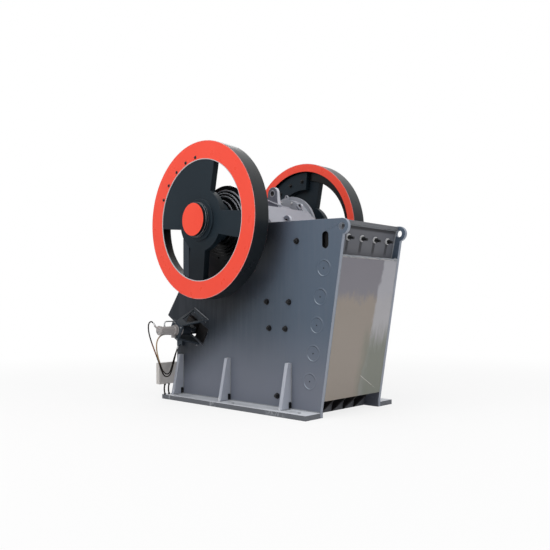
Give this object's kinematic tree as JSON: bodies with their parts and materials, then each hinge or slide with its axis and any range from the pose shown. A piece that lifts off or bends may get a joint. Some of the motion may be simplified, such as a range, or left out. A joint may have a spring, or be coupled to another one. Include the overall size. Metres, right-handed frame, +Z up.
{
  "type": "jaw crusher",
  "caption": "Single-toggle jaw crusher: welded box frame with leaning front, eccentric shaft with spoked flywheels, swing jaw and side adjusting cylinders.",
  "frame": {"origin": "on the floor, centred under the whole machine", "axes": "+X out of the front wall, +Y along the eccentric shaft to the right-hand flywheel, +Z up"},
  "size_m": [2.8299, 2.207, 2.931],
  "materials": {
    "frame_paint": "satin slate grey paint",
    "cover_paint": "glossy warm grey paint",
    "dark_paint": "satin near-black paint",
    "red_paint": "satin orange-red paint",
    "jaw_primer": "pale grey primer",
    "manganese_steel": "rough cast manganese steel",
    "machined_steel": "turned or milled steel",
    "cylinder_grey": "grey enamel",
    "box_paint": "grey-brown enamel",
    "hose_rubber": "matt hose cover"
  },
  "bodies": {
    "frame": {"side_plate_left": "frame_paint", "side_plate_right": "frame_paint", "base_flange_left": "frame_paint", "base_flange_right": "frame_paint", "side_ribs_left": "frame_paint", "side_ribs_right": "frame_paint", "front_inner_wall": "frame_paint", "front_cover": "cover_paint", "front_ledge": "cover_paint", "front_wall_ribs": "frame_paint", "front_top_bar": "frame_paint", "clamp_bolts": "dark_paint", "fixed_jaw_plate": "manganese_steel", "upper_cheek_plates": "manganese_steel", "lower_cheek_plates": "manganese_steel", "bearing_housing_left": "dark_paint", "bearing_housing_right": "dark_paint", "seal_covers": "dark_paint", "lifting_eyes": "dark_paint", "rear_wall": "frame_paint", "reaction_beam": "frame_paint", "rear_wedge": "machined_steel", "front_wedge": "machined_steel", "toggle_block": "machined_steel", "block_rails": "machined_steel", "toggle_plate": "machined_steel", "cylinder_bracket_left": "dark_paint", "cylinder_bracket_right": "dark_paint", "adjusting_cylinder_left": "cylinder_grey", "adjusting_cylinder_right": "cylinder_grey", "cylinder_pipes": "cylinder_grey", "hose_blocks": "cylinder_grey", "rod_lug": "frame_paint", "tension_rod": "machined_steel", "tension_spring": "machined_steel", "connection_box": "box_paint", "box_conduits": "hose_rubber", "hose_left_a": "hose_rubber", "hose_left_b": "hose_rubber", "hose_right_a": "hose_rubber", "hose_right_b": "hose_rubber"},
    "rotor": {"eccentric_shaft": "machined_steel", "flywheel_rim_left": "dark_paint", "flywheel_rim_right": "dark_paint", "flywheel_web_left": "dark_paint", "flywheel_web_right": "dark_paint", "counterweights": "dark_paint", "hub_caps": "red_paint"},
    "swing_jaw": {"swing_jaw": "jaw_primer", "swing_jaw_plate": "manganese_steel", "barrel_caps": "jaw_primer", "jaw_lifting_ear": "jaw_primer"}
  },
  "joints": [
    {"name": "rotor_spin", "type": "hinge", "parent": "frame", "child": "rotor", "pos_m": [-0.316, 0, 2.065], "axis": [0, -1, 0], "continuous": true},
    {"name": "jaw_orbit", "type": "hinge", "parent": "rotor", "child": "swing_jaw", "pos_m": [-0.30718, 0, 2.05286], "axis": [0, -1, 0], "continuous": true}
  ],
  "couplings": [
    {"joint": "jaw_orbit", "follows": "rotor_spin", "ratio": -1}
  ]
}
